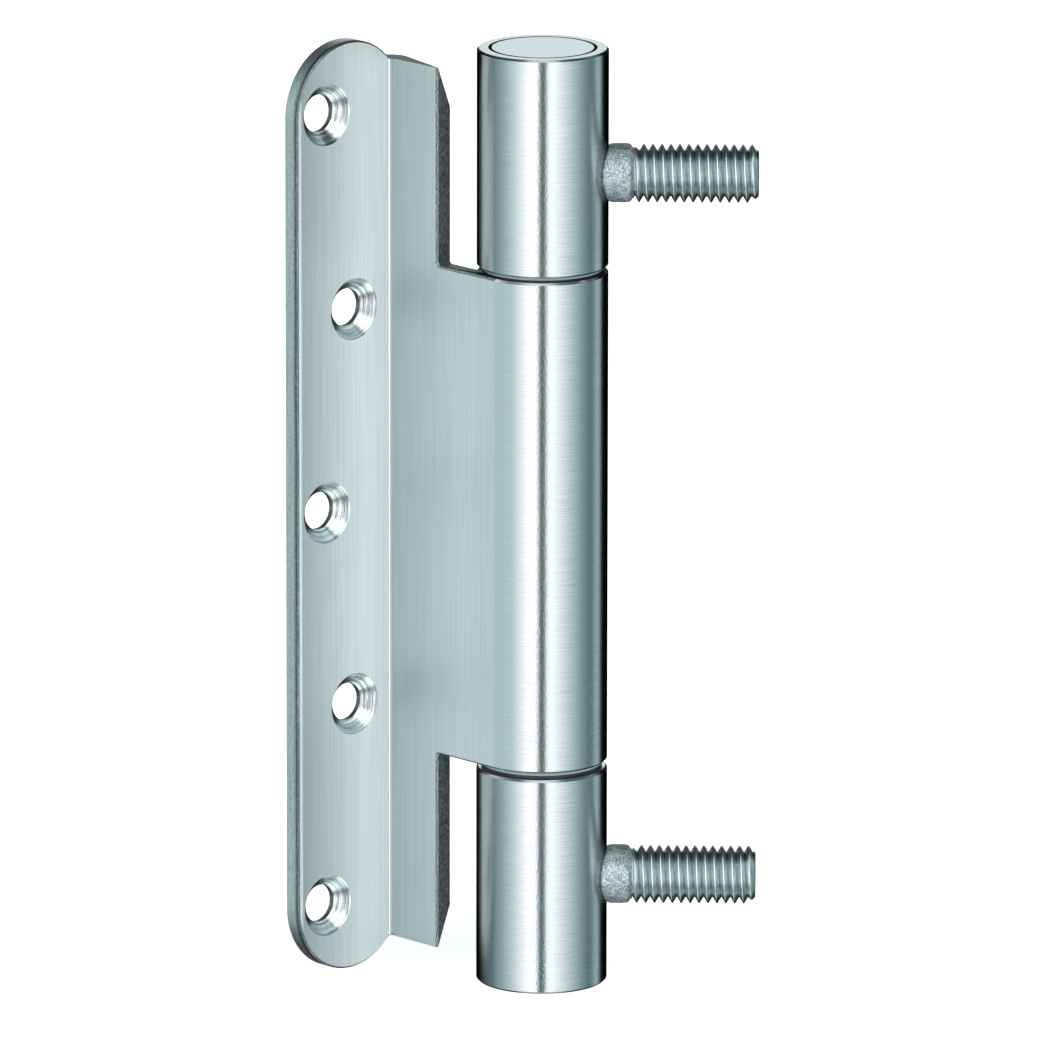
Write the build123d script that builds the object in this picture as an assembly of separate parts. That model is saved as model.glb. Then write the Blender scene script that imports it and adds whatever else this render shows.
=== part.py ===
from build123d import *
import math
import os

# Retrofit door hinge in three knuckles. A sheet steel door leaf turns about a pin
# that two frame knuckles hold, and each frame knuckle carries a threaded stud.
# Sizes are millimetres. Z runs up the hinge axis, from zero at the barrel's lower end.
# The leaf's back face looks along +Y, and its free edge lies towards -X.

# Barrel
barrel_diameter = 22.0
frame_knuckle_length = 37.0
barrel_edge_chamfer = 0.35

# Folded sheet of the door leaf
sheet_thickness = 3.0
leaf_width = 24.0
leaf_height = 159.6
leaf_end_setback = 0.2
leaf_reach = 28.5
bend_inner_radius = 0.6
sheet_edge_chamfer = 0.3
roll_seam_gap = 0.3
roll_tip_angle = 155.0

# Ears of the flag, beside the frame knuckles
ear_width = 11.5
notch_corner_radius = 0.5
ear_bevel_height = 7.0
ear_bevel_depth = 2.7

# Staggered countersunk screw holes
screw_hole_diameter = 6.4
countersink_diameter = 10.5
countersink_angle = 90.0
screw_hole_steps_each_way = 2
end_hole_inset = 11.8
outer_column_inset = 6.6
inner_column_inset = 12.8

# Pin, and the bushes whose flanges show in the gaps between the knuckles
pin_diameter = 12.0
pin_end_chamfer = 1.0
pin_end_gap = 0.5
bush_length = 24.0
lower_flange_thickness = 1.15
upper_flange_thickness = 0.75
flange_setback = 0.9

# End caps of the barrel, each with a groove for a thin sealing ring
cap_thickness = 3.5
cap_recess_wall = 1.9
cap_groove_width = 0.6
cap_groove_depth = 1.0

# Frame studs, M10 with a plain shank
stud_azimuth = -45.0
lower_stud_height = 18.2
upper_stud_drop = 21.2
stud_thread_diameter = 9.8
stud_thread_length = 21.1
stud_shank_diameter = 10.0
stud_shank_length = 3.9
stud_neck_depth = 0.6
stud_tip_chamfer = 1.1
stud_spigot_diameter = 8.0
stud_spigot_length = 4.0

# Grub screws that lock the pin, M6
grub_azimuth = 45.0
grub_diameter = 6.0
grub_length = 4.5
grub_point_diameter = 4.0
grub_socket_across_flats = 3.0
grub_socket_depth = 2.2

# Clearances
bearing_clearance = 0.05
thrust_clearance = 0.05
seat_clearance = 0.02

# Places that follow from the sizes
barrel_radius = barrel_diameter / 2
roll_bore_radius = barrel_radius - sheet_thickness
pin_radius = pin_diameter / 2
lower_gap = lower_flange_thickness + thrust_clearance
upper_gap = upper_flange_thickness + thrust_clearance
barrel_height = leaf_height + 2 * leaf_end_setback
centre_bottom = frame_knuckle_length + lower_gap
centre_top = barrel_height - frame_knuckle_length - upper_gap
leaf_middle = (centre_bottom + centre_top) / 2
upper_stud_height = barrel_height - upper_stud_drop

flag_front = -barrel_radius
flag_back = flag_front + sheet_thickness
leaf_back = leaf_reach
leaf_front = leaf_back - sheet_thickness
leaf_free_edge = flag_back - leaf_width
ear_edge = leaf_front - ear_width
bend_start = leaf_front - bend_inner_radius
leaf_end_radius = leaf_width / 2
screw_hole_step = (leaf_height / 2 - end_hole_inset) / screw_hole_steps_each_way
round_centre_height = leaf_height / 2 - leaf_end_radius
ear_half_height = round_centre_height + math.sqrt(
    leaf_end_radius**2 - (leaf_end_radius - sheet_thickness) ** 2
)

cap_recess_radius = barrel_radius - cap_recess_wall
cap_face_radius = cap_recess_radius - cap_groove_width
flange_radius = barrel_radius - flange_setback
knuckle_bore = pin_radius + seat_clearance


def turned(points):
    """Solid turned about Z from a closed outline of radius and height pairs."""
    outline = make_face(Polyline(*points, close=True))
    return revolve(Plane.XZ * outline, Axis.Z)


def radial_plane(azimuth, height):
    """Plane on the hinge axis whose normal points outwards at an azimuth."""
    angle = math.radians(azimuth)
    outwards = (math.cos(angle), math.sin(angle), 0)
    return Plane(origin=(0, 0, height), x_dir=(0, 0, 1), z_dir=outwards)


def edges_within(shape, low, high):
    """Edges of a shape that lie wholly inside a box given by two corners."""
    margin = 0.01
    found = ShapeList()
    for edge in shape.edges():
        box = edge.bounding_box()
        starts_inside = all(a >= b - margin for a, b in zip(box.min, low))
        ends_inside = all(a <= b + margin for a, b in zip(box.max, high))
        if starts_inside and ends_inside:
            found.append(edge)
    return found


def sheet_plan():
    """Plan of the folded sheet: rolled knuckle, flag, bend and leaf."""
    flag_length = leaf_back
    flag = Pos((flag_front + flag_back) / 2, flag_length / 2) * Rectangle(sheet_thickness, flag_length)
    leaf = Pos((leaf_free_edge + flag_back) / 2, (leaf_front + leaf_back) / 2) * Rectangle(
        leaf_width, sheet_thickness
    )
    folded = flag + leaf
    inner_corner = folded.vertices().sort_by_distance((flag_front, leaf_front, 0))[0]
    folded = fillet(inner_corner, bend_inner_radius)
    outer_corner = folded.vertices().sort_by_distance((flag_back, leaf_back, 0))[0]
    folded = fillet(outer_corner, bend_inner_radius + sheet_thickness)
    return folded + roll_plan()


def roll_plan():
    """Plan of the roll, with its free end bevelled to lie along the flag's back."""
    ring = Circle(barrel_radius) - Circle(roll_bore_radius)
    seam_line = flag_back + roll_seam_gap
    beyond_seam = Pos(seam_line - barrel_radius / 2, barrel_radius / 2) * Rectangle(
        barrel_radius, barrel_radius
    )
    tip = math.radians(roll_tip_angle)
    tip_foot = (2 * barrel_radius * math.cos(tip), 2 * barrel_radius * math.sin(tip))
    past_tip = make_face(Polyline((0, 0), tip_foot, (-2 * barrel_radius, 0), close=True))
    return ring - beyond_seam - past_tip


def sheet_outline():
    """Block with the sheet's outline from the front: leaf with full round ends, and ears."""
    middle = (leaf_free_edge + flag_back) / 2
    slot = Pos(middle, leaf_middle) * Rot(0, 0, 90) * SlotOverall(leaf_height, leaf_width)
    ears_width = barrel_radius - flag_front
    ears = Pos((flag_front + barrel_radius) / 2, leaf_middle) * Rectangle(ears_width, 2 * ear_half_height)
    depth = leaf_back + barrel_radius
    return Pos(0, leaf_back, 0) * extrude(Plane.XZ * (slot + ears), depth)


def frame_knuckle_notch():
    """Block above the centre knuckle that leaves only an ear of the flag."""
    reach = ear_edge + barrel_radius
    height = leaf_height
    middle = (ear_edge - reach / 2 - notch_corner_radius, centre_top + height / 2)
    outline = Pos(*middle) * Rectangle(reach + 2 * notch_corner_radius, height)
    corner = outline.vertices().sort_by_distance((ear_edge, centre_top, 0))[0]
    outline = fillet(corner, notch_corner_radius)
    return Pos(-barrel_radius, 0, 0) * extrude(Plane.YZ * outline, 2 * barrel_radius)


def ear_bevel():
    """Block over the slope that bevels the back of an ear's upper outer corner."""
    top = leaf_middle + ear_half_height
    front = Vector(flag_back - ear_bevel_depth, ear_edge, top)
    low = Vector(flag_back, ear_edge, top - ear_bevel_height)
    far = Vector(flag_back, bend_start, top)
    upwards = (low - front).cross(far - front)
    slope = Plane(origin=front, x_dir=low - front, z_dir=upwards)
    size = 3 * ear_bevel_height
    return slope * Pos(0, 0, ear_bevel_height / 2) * Box(size, 4 * ear_width, ear_bevel_height)


def countersunk_hole(inset, height):
    """Cutter for one countersunk screw hole, seen from the leaf's front."""
    hole_radius = screw_hole_diameter / 2
    mouth_radius = countersink_diameter / 2
    cone_depth = (mouth_radius - hole_radius) / math.tan(math.radians(countersink_angle / 2))
    drill = Cylinder(hole_radius, 3 * sheet_thickness)
    cone = Pos(0, 0, -cone_depth / 2) * Cone(hole_radius, mouth_radius, cone_depth)
    at_front = Plane(origin=(leaf_free_edge + inset, leaf_front, height), z_dir=(0, -1, 0))
    return at_front * (drill + cone)


def screw_holes():
    """Cutters for the staggered holes, the outer and inner column by turns."""
    cutters = []
    for step in range(-screw_hole_steps_each_way, screw_hole_steps_each_way + 1):
        inset = outer_column_inset if step % 2 == 0 else inner_column_inset
        cutters.append(countersunk_hole(inset, leaf_middle + step * screw_hole_step))
    return cutters


def break_sheet_edges(sheet):
    """Break the leaf's front outline and the ears' front edges, as on a tumbled punching."""
    bottom = leaf_middle - leaf_height / 2
    top = leaf_middle + leaf_height / 2
    face_edges = edges_within(
        sheet,
        (leaf_free_edge, leaf_front, bottom),
        (flag_front - 2 * bend_inner_radius, leaf_front, top),
    )
    outline = ShapeList([edge for edge in face_edges if not edge.is_closed])
    ear_low = leaf_middle - ear_half_height
    ear_high = leaf_middle + ear_half_height
    ear_edges = edges_within(sheet, (flag_front, ear_edge, ear_low), (flag_front, ear_edge, ear_high))
    return chamfer(outline + ear_edges, sheet_edge_chamfer)


def chamfer_centre_knuckle(sheet):
    """Chamfer the outer end edges of the centre knuckle."""
    for height in (centre_bottom, centre_top):
        low = (-barrel_radius, -barrel_radius, height)
        high = (barrel_radius, barrel_radius, height)
        rim = edges_within(sheet, low, high)
        outer = ShapeList([edge for edge in rim if edge.geom_type == GeomType.CIRCLE])
        outer = ShapeList([edge for edge in outer if edge.radius > roll_bore_radius + seat_clearance])
        sheet = chamfer(outer, barrel_edge_chamfer)
    return sheet


def door_leaf():
    """Door leaf: one sheet, rolled into the centre knuckle and bent into the leaf."""
    bottom = leaf_middle - leaf_height / 2
    sheet = Pos(0, 0, bottom) * extrude(sheet_plan(), leaf_height)
    sheet &= sheet_outline()
    middle_plane = Plane.XY.offset(leaf_middle)
    for cutter in (frame_knuckle_notch(), ear_bevel()):
        sheet = sheet - cutter - mirror(cutter, about=middle_plane)
    sheet = chamfer_centre_knuckle(sheet)
    sheet = break_sheet_edges(sheet)
    for cutter in screw_holes():
        sheet -= cutter
    return sheet


def frame_knuckle(stud_height):
    """Frame knuckle standing on its outer end, with its cap recess and radial holes."""
    edge = barrel_edge_chamfer
    knuckle = turned([
        (knuckle_bore, cap_thickness),
        (cap_recess_radius, cap_thickness),
        (cap_recess_radius, 0),
        (barrel_radius - edge, 0),
        (barrel_radius, edge),
        (barrel_radius, frame_knuckle_length - edge),
        (barrel_radius - edge, frame_knuckle_length),
        (knuckle_bore, frame_knuckle_length),
    ])
    socket_radius = stud_spigot_diameter / 2 + seat_clearance
    socket_floor = barrel_radius - stud_spigot_length - seat_clearance
    socket = Pos(0, 0, socket_floor) * Cylinder(
        socket_radius, barrel_radius, align=(Align.CENTER, Align.CENTER, Align.MIN)
    )
    grub_hole = Cylinder(
        grub_diameter / 2 + seat_clearance, 2 * barrel_radius, align=(Align.CENTER, Align.CENTER, Align.MIN)
    )
    knuckle -= radial_plane(stud_azimuth, stud_height) * socket
    knuckle -= radial_plane(grub_azimuth, stud_height) * grub_hole
    return knuckle


def frame_stud(height):
    """Stud with its spigot in the knuckle, and its shank fitted round the barrel."""
    spigot = stud_spigot_diameter / 2
    spigot_end = barrel_radius - stud_spigot_length
    shank = stud_shank_diameter / 2
    thread = stud_thread_diameter / 2
    neck = thread - stud_neck_depth
    shank_end = barrel_radius + stud_shank_length
    thread_start = shank_end + stud_neck_depth
    tip = shank_end + stud_thread_length
    saddle_depth = barrel_radius - math.sqrt(barrel_radius**2 - shank**2)
    shank_start = barrel_radius - 1.5 * saddle_depth
    body = turned([
        (0, shank_start),
        (shank, shank_start),
        (shank, shank_end - (shank - neck)),
        (neck, shank_end),
        (thread, thread_start),
        (thread, tip - stud_tip_chamfer),
        (thread - stud_tip_chamfer, tip),
        (0, tip),
    ])
    placed = radial_plane(stud_azimuth, height) * body
    placed -= Pos(0, 0, height) * Cylinder(barrel_radius + seat_clearance, 4 * shank)
    peg = Pos(0, 0, spigot_end) * Cylinder(
        spigot, stud_spigot_length + saddle_depth, align=(Align.CENTER, Align.CENTER, Align.MIN)
    )
    return placed + radial_plane(stud_azimuth, height) * peg


def hinge_pin():
    """Pin through all three knuckles."""
    bottom = cap_thickness + pin_end_gap
    top = barrel_height - cap_thickness - pin_end_gap
    return turned([
        (0, bottom),
        (pin_radius - pin_end_chamfer, bottom),
        (pin_radius, bottom + pin_end_chamfer),
        (pin_radius, top - pin_end_chamfer),
        (pin_radius - pin_end_chamfer, top),
        (0, top),
    ])


def flanged_bush(flange_thickness):
    """Bearing bush standing on its flange, which carries the centre knuckle's end."""
    bore = pin_radius + bearing_clearance
    outer = roll_bore_radius - seat_clearance
    length = flange_thickness + bush_length
    return turned([
        (bore, 0),
        (flange_radius, 0),
        (flange_radius, flange_thickness),
        (outer, flange_thickness),
        (outer, length),
        (bore, length),
    ])


def end_cap():
    """Cap plug with its face downwards at the barrel's lower end, grooved round the face."""
    outer = cap_recess_radius - seat_clearance
    return turned([
        (0, 0),
        (cap_face_radius, 0),
        (cap_face_radius, cap_groove_depth),
        (outer, cap_groove_depth),
        (outer, cap_thickness),
        (0, cap_thickness),
    ])


def grub_screw(height):
    """Hexagon socket grub screw, its point against the pin."""
    radius = grub_diameter / 2
    point = grub_point_diameter / 2
    start = pin_radius + seat_clearance
    screw = turned([
        (0, start),
        (point, start),
        (radius, start + radius - point),
        (radius, start + grub_length),
        (0, start + grub_length),
    ])
    hexagon = RegularPolygon(grub_socket_across_flats / 2, 6, major_radius=False)
    socket = Pos(0, 0, start + grub_length - grub_socket_depth) * extrude(hexagon, grub_length)
    return radial_plane(grub_azimuth, height) * (screw - socket)


def to_upper_end(solid):
    """Turn a piece of the barrel's lower end over to the upper end."""
    return mirror(solid, about=Plane.XY.offset(barrel_height / 2))


lower_bush_seat = centre_bottom - lower_flange_thickness
upper_bush_seat = barrel_height - centre_top - upper_flange_thickness

parts = {
    "door_leaf": door_leaf(),
    "hinge_pin": hinge_pin(),
    "lower_knuckle": frame_knuckle(lower_stud_height),
    "upper_knuckle": to_upper_end(frame_knuckle(upper_stud_drop)),
    "lower_frame_stud": frame_stud(lower_stud_height),
    "upper_frame_stud": frame_stud(upper_stud_height),
    "lower_bearing_bush": Pos(0, 0, lower_bush_seat) * flanged_bush(lower_flange_thickness),
    "upper_bearing_bush": to_upper_end(Pos(0, 0, upper_bush_seat) * flanged_bush(upper_flange_thickness)),
    "lower_end_cap": end_cap(),
    "upper_end_cap": to_upper_end(end_cap()),
    "lower_grub_screw": grub_screw(lower_stud_height),
    "upper_grub_screw": grub_screw(upper_stud_height),
}

os.makedirs("parts", exist_ok=True)
for node, solid in parts.items():
    export_step(solid, f"parts/{node}.step")
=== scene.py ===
import math

import bmesh
import bpy
from mathutils import Matrix, Vector, noise


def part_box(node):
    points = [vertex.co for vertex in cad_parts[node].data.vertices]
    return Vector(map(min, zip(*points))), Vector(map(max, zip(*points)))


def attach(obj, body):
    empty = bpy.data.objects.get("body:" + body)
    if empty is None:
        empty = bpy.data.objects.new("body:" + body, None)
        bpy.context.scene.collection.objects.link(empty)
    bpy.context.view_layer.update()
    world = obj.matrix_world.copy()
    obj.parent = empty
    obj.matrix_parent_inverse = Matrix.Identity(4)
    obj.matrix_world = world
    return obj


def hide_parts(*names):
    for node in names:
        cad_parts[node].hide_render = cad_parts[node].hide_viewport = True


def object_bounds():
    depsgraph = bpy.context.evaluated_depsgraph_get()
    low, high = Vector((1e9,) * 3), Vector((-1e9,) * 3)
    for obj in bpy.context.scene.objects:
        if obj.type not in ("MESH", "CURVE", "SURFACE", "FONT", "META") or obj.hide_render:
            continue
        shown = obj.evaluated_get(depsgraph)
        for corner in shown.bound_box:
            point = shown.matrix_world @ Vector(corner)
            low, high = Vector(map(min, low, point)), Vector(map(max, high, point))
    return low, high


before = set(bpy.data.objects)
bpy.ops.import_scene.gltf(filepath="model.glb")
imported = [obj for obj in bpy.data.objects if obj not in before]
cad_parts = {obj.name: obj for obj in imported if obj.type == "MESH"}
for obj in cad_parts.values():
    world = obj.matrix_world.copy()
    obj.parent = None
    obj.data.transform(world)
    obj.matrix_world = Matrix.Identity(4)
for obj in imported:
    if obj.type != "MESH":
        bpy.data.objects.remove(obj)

bl_info = {
    "name": "Retrofit Door Hinge",
    "version": (1, 0, 0),
    "blender": (4, 5, 0),
    "location": "3D View > Sidebar > Door Hinge",
    "description": "Finishes, threaded studs and studio for a three-knuckle door hinge",
    "category": "Object",
}

# The hinge axis is Z, from the barrel's lower end. The leaf's back face looks along +Y.
MM = 0.001
CAD_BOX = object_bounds()
BARREL_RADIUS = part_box("lower_knuckle")[1].x
# Degrees to the right of the camera, with the tone of the soft box or card there
RING_LIGHTS = (
    (-180, "0A0E0F"), (-150, "050808"), (-136, "171E1F"), (-122, "2F3A3C"), (-110, "48585B"), (-95, "586A6D"),
    (-84, "76888B"), (-75, "839496"), (-62, "A1B0B1"), (-50, "BFC7C7"), (-38, "DFDFDF"), (-28, "F4F4F4"),
    (-20, "FFFFFF"), (-8, "FFFFFF"), (-5.5, "344042"), (5.5, "344042"), (8, "F8F8F8"), (20, "F2F2F2"),
    (38, "CED2D2"), (55, "A5B3B4"), (75, "77898C"), (92, "546568"), (102, "607275"), (111, "93A4A5"),
    (120, "93A4A5"), (127, "263032"), (132, "090D0E"), (180, "090D0E"),
)
# Height of a direction, from straight down to straight up, with the share of light that comes from there
BELT_LIGHTS = (
    (-1, "606868"), (-0.75, "586060"), (-0.5, "E0E0E0"), (-0.3, "FFFFFF"), (0.4, "FFFFFF"), (0.6, "C8C8C8"),
    (0.8, "7C8282"), (0.93, "2C3030"), (1, "202424"),
)
# Height over the horizon of the soft box above the camera and the white sheet below it, with their tones
CAMERA_BOXES = ((math.radians(54), "E6ECEC"), (math.radians(-78), "B8C0C0"))
BACK_PANEL = "9EA5A5"
STUD_DIRECTION = Vector((1, -1, 0)).normalized()
STUD_SIDE = Vector((1, 1, 0)).normalized()
UP = Vector((0, 0, 1))
LEAF_LOW, LEAF_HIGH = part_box("door_leaf")
LEAF_MIDDLE = (LEAF_LOW.z + LEAF_HIGH.z) / 2
SHEET_THICKNESS = 3 * MM
LEAF_FRONT = LEAF_HIGH.y - SHEET_THICKNESS
# Screw holes, by turns in the outer and the inner column, with radii just past wall and countersink
HOLE_STEP = 34 * MM
OUTER_COLUMN = -25.4 * MM
INNER_COLUMN = -19.2 * MM
HOLE_RADIUS = 3.25 * MM
COUNTERSINK_RADIUS = 5.3 * MM


def linear(hex_colour):
    """Linear RGBA of an sRGB hex colour."""
    channels = [int(hex_colour[i : i + 2], 16) / 255 for i in (0, 2, 4)]
    return tuple(c / 12.92 if c <= 0.04045 else ((c + 0.055) / 1.055) ** 2.4 for c in channels) + (1.0,)


def add_node(tree, kind, inputs=None, **settings):
    """Add a node, set its attributes, and fill or link its inputs."""
    node = tree.nodes.new(kind)
    for name, value in settings.items():
        setattr(node, name, value)
    for key, value in (inputs or {}).items():
        if isinstance(value, bpy.types.NodeSocket):
            tree.links.new(value, node.inputs[key])
        else:
            node.inputs[key].default_value = value
    return node


def fill_ramp(ramp, stops, low, high):
    """Set a colour ramp's stops from places between low and high with their colours."""
    while len(ramp.elements) > 1:
        ramp.elements.remove(ramp.elements[-1])
    for index, (place, colour) in enumerate(stops):
        share = (place - low) / (high - low)
        stop = ramp.elements[0] if index == 0 else ramp.elements.new(share)
        stop.position = share
        stop.color = linear(colour) if isinstance(colour, str) else colour


def new_material(name):
    """Empty node material with its output node."""
    material = bpy.data.materials.new(name)
    material.use_nodes = True
    material.node_tree.nodes.clear()
    return material, material.node_tree


def colour_property(name, description, hex_colour):
    """Colour setting with an sRGB hex default."""
    return bpy.props.FloatVectorProperty(
        name=name, description=description, subtype="COLOR", size=4, min=0, max=1, default=linear(hex_colour)
    )


def length_property(name, description, millimetres):
    """Length setting with its default in millimetres."""
    return bpy.props.FloatProperty(
        name=name, description=description, unit="LENGTH", min=0, default=millimetres * MM
    )


class HingeStudSettings(bpy.types.PropertyGroup):
    """Sizes of the threaded frame studs."""

    pitch: length_property("Pitch", "Distance between thread crests", 1.5)
    crest_radius: length_property("Crest radius", "Radius over the thread crests", 4.9)
    root_radius: length_property("Root radius", "Radius at the bottom of the thread", 3.85)
    crest_flat: length_property("Crest flat", "Width of the flat on a crest", 0.12)
    root_flat: length_property("Root flat", "Width of the rounded root", 0.12)
    thread_end: length_property("Thread end", "Distance of the stud's tip from the hinge axis", 36.0)
    tip_chamfer: length_property("Tip chamfer", "Chamfer at the stud's tip", 1.12)
    shank_end: length_property("Shank end", "Distance of the shank's end from the hinge axis", 14.9)
    shank_radius: length_property("Shank radius", "Radius of the plain shank", 5.0)
    neck_radius: length_property("Neck radius", "Radius of the neck before the thread", 4.3)
    neck_length: length_property("Neck length", "Length of the neck between shank and thread", 0.35)
    pit_depth: length_property("Pit depth", "Depth of the shank's blasted surface", 0.05)
    pit_size: length_property("Pit size", "Width of the lumps of the shank's blasted surface", 0.5)
    segments: bpy.props.IntProperty(name="Segments", description="Faces round the stud", min=24, default=96)


class HingeRingSettings(bpy.types.PropertyGroup):
    """Sizes of the thin sealing rings in the end caps' grooves."""

    inner_radius: length_property("Inner radius", "Radius of the ring's inner side", 8.5)
    outer_radius: length_property("Outer radius", "Radius of the ring's outer side", 9.1)
    depth: length_property("Depth", "Depth of the ring's foot below the barrel's end", 0.9)
    setback: length_property("Setback", "Depth of the ring's edges below the barrel's end", 0.04)
    crown: length_property("Crown", "Rise of the ring's rounded face over its edges", 0.03)
    segments: bpy.props.IntProperty(name="Segments", description="Faces round the ring", min=24, default=128)


class HingeFinishSettings(bpy.types.PropertyGroup):
    """Colours of the finishes."""

    # Besides its other uses, the leaf colour is the lit tone of the leaf's painted light and of its painted
    # edge highlight; the next colour is the painted shade nearer the free edge
    leaf: colour_property("Leaf", "Brushed stainless sheet at the bend", "FCFEFE")
    leaf_painted_shade: colour_property("Leaf edge", "Brushed stainless sheet at the leaf's free edge", "BEC6C7")
    # The flag's colour, and the painted shade that darkens it towards the bend
    flag: colour_property("Flag", "Brushed stainless sheet beside the knuckle", "D3DEDF")
    flag_painted_shade: colour_property("Flag bend", "Brushed sheet at the flag's side of the bend", "A6B6B8")
    steel: colour_property("Steel", "Satin stainless steel of the knuckles", "BDC4C4")
    steel_dark: colour_property("Steel grain", "Colour in the grooves of the grinding", "AFB7B8")
    steel_grazing: colour_property("Grazing steel", "Ground steel seen at a flat angle", "404848")
    groove: colour_property("Groove", "Share of light that the sheet's grooves return", "ECEFEF")
    thread: colour_property("Thread", "Cold-rolled stainless steel of the threads", "CED8D9")
    thread_dark: colour_property("Thread flow lines", "Duller steel between the flow lines", "A4B2B4")
    # Painted shade at the bottom of the thread
    thread_root_painted_shade: colour_property("Thread root", "Steel darkened by oil at the bottom of the thread", "4C585A")
    edge: colour_property("Sheared edge", "Fracture band of the sheet's edges", "647072")
    bright: colour_property("Bright steel", "Caps, and steel between the shanks' pits", "E6F0F1")
    shank: colour_property("Blasted shank", "Pits in the blasted steel of the stud's shank", "64767C")
    plastic: colour_property("Bearing plastic", "Bushes between the knuckles", "8C9A9A")
    # Painted shade in the gaps between the knuckles, at the foot of the bushes' flanges
    painted_shade: colour_property("Bearing oil", "Oil and wear dust at the foot of the bushes' flanges", "0C1112")
    ring: colour_property("Ring", "Thin sealing rings round the caps", "020303")
    screw: colour_property("Grub screw", "Blackened steel of the grub screws", "17191B")


class HingeStageSettings(bpy.types.PropertyGroup):
    """Camera and light of the studio."""

    azimuth: bpy.props.FloatProperty(
        name="Azimuth", description="Camera's turn from the leaf's front", subtype="ANGLE",
        default=math.radians(43.5),
    )
    elevation: bpy.props.FloatProperty(
        name="Elevation", description="Camera's height above the horizon", subtype="ANGLE",
        default=math.radians(13.5),
    )
    roll: bpy.props.FloatProperty(
        name="Roll", description="Camera's roll", subtype="ANGLE", default=math.radians(0.08)
    )
    distance: length_property("Distance", "Camera's distance from its target", 2500)
    focal_length: bpy.props.FloatProperty(
        name="Focal length", description="Camera's focal length in millimetres on a 36 mm sensor",
        default=517.0,
    )
    target: bpy.props.FloatVectorProperty(
        name="Target", description="Point that the camera looks at", unit="LENGTH", size=3,
        default=(-0.47 * MM, 5 * MM, 78.55 * MM),
    )
    light: bpy.props.FloatProperty(
        name="Light", description="Strength of the studio's soft boxes", min=0, default=2.5
    )
    backdrop: bpy.props.FloatProperty(
        name="Backdrop", description="Strength of the white backdrop that the camera sees", min=0, default=1.1
    )
    floor_glow: bpy.props.FloatProperty(
        name="Floor glow", description="Strength of the light through the floor", min=0, default=0.8
    )
    floor: colour_property("Floor", "Pale studio floor", "FCFEFE")
    floor_reach: length_property("Floor reach", "Distance of the floor's sides from its middle", 8000)
    floor_gap: length_property("Floor gap", "Depth of the floor below the barrel's lower end", 0.1)


def grain_noise(tree, scale, detail=3.0, roughness=0.6, vector=None):
    """Noise stretched along the grain; scale is cycles a metre in each direction."""
    if vector is None:
        vector = add_node(tree, "ShaderNodeTexCoord").outputs["Object"]
    stretched = add_node(tree, "ShaderNodeVectorMath", {0: vector, 1: scale}, operation="MULTIPLY")
    return add_node(
        tree, "ShaderNodeTexNoise",
        {"Vector": stretched.outputs[0], "Scale": 1.0, "Detail": detail, "Roughness": roughness},
    ).outputs["Fac"]


def brushed_sheet_steel(name, axis, stops, groove, roughness):
    """Stainless steel sheet, belt ground along its height.

    The belt leaves fine scratches up and down, so light spreads sideways across them. The real
    ones are a few hundredths of a millimetre wide, and are drawn 0.16 mm wide so that they show.
    Light and shade are painted into the sheet's colour: the tone follows stops of place and
    colour along an axis.
    """
    material, tree = new_material(name)
    place = add_node(tree, "ShaderNodeTexCoord").outputs["Object"]
    fine = grain_noise(tree, (1 / (0.16 * MM), 1 / (0.16 * MM), 1 / (26 * MM)), 4.0, 0.6, place)
    broad = grain_noise(tree, (1 / (1.4 * MM), 1 / (1.4 * MM), 1 / (60 * MM)), 2.0, 0.6, place)
    grain = add_node(tree, "ShaderNodeMix", {0: 0.12, 2: fine, 3: broad}, data_type="FLOAT").outputs[0]
    along = add_node(tree, "ShaderNodeSeparateXYZ", {0: place}).outputs[axis]
    low, high = stops[0][0], stops[-1][0]
    across = add_node(tree, "ShaderNodeMapRange", {"Value": along, "From Min": low, "From Max": high})
    # Painted light and shade: the ramp's stops make the sheet lighter or darker by place
    painted_light_ramp = add_node(tree, "ShaderNodeValToRGB", {"Fac": across.outputs[0]})
    fill_ramp(painted_light_ramp.color_ramp, stops, low, high)
    tone = painted_light_ramp.outputs[0]
    shade = add_node(
        tree, "ShaderNodeMapRange", {"Value": grain, "From Min": 0.35, "From Max": 0.65}
    ).outputs[0]
    dull = add_node(
        tree, "ShaderNodeMix", {0: 1.0, 6: tone, 7: groove}, data_type="RGBA", blend_type="MULTIPLY"
    ).outputs[2]
    colour = add_node(tree, "ShaderNodeMix", {0: shade, 6: dull, 7: tone}, data_type="RGBA").outputs[2]
    gloss = add_node(tree, "ShaderNodeMapRange", {
        "Value": grain, "From Min": 0.3, "From Max": 0.7,
        "To Min": roughness + 0.03, "To Max": roughness - 0.03,
    }).outputs[0]
    relief = add_node(tree, "ShaderNodeBump", {"Height": fine, "Strength": 0.12, "Distance": 0.02 * MM})
    tangent = add_node(tree, "ShaderNodeTangent", direction_type="RADIAL", axis="Z")
    steel = add_node(tree, "ShaderNodeBsdfPrincipled", {
        "Base Color": colour, "Metallic": 1.0, "Roughness": gloss, "Anisotropic": 0.65,
        "Normal": relief.outputs[0], "Tangent": tangent.outputs[0],
    })
    add_node(tree, "ShaderNodeOutputMaterial", {"Surface": steel.outputs[0]})
    return material


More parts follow.
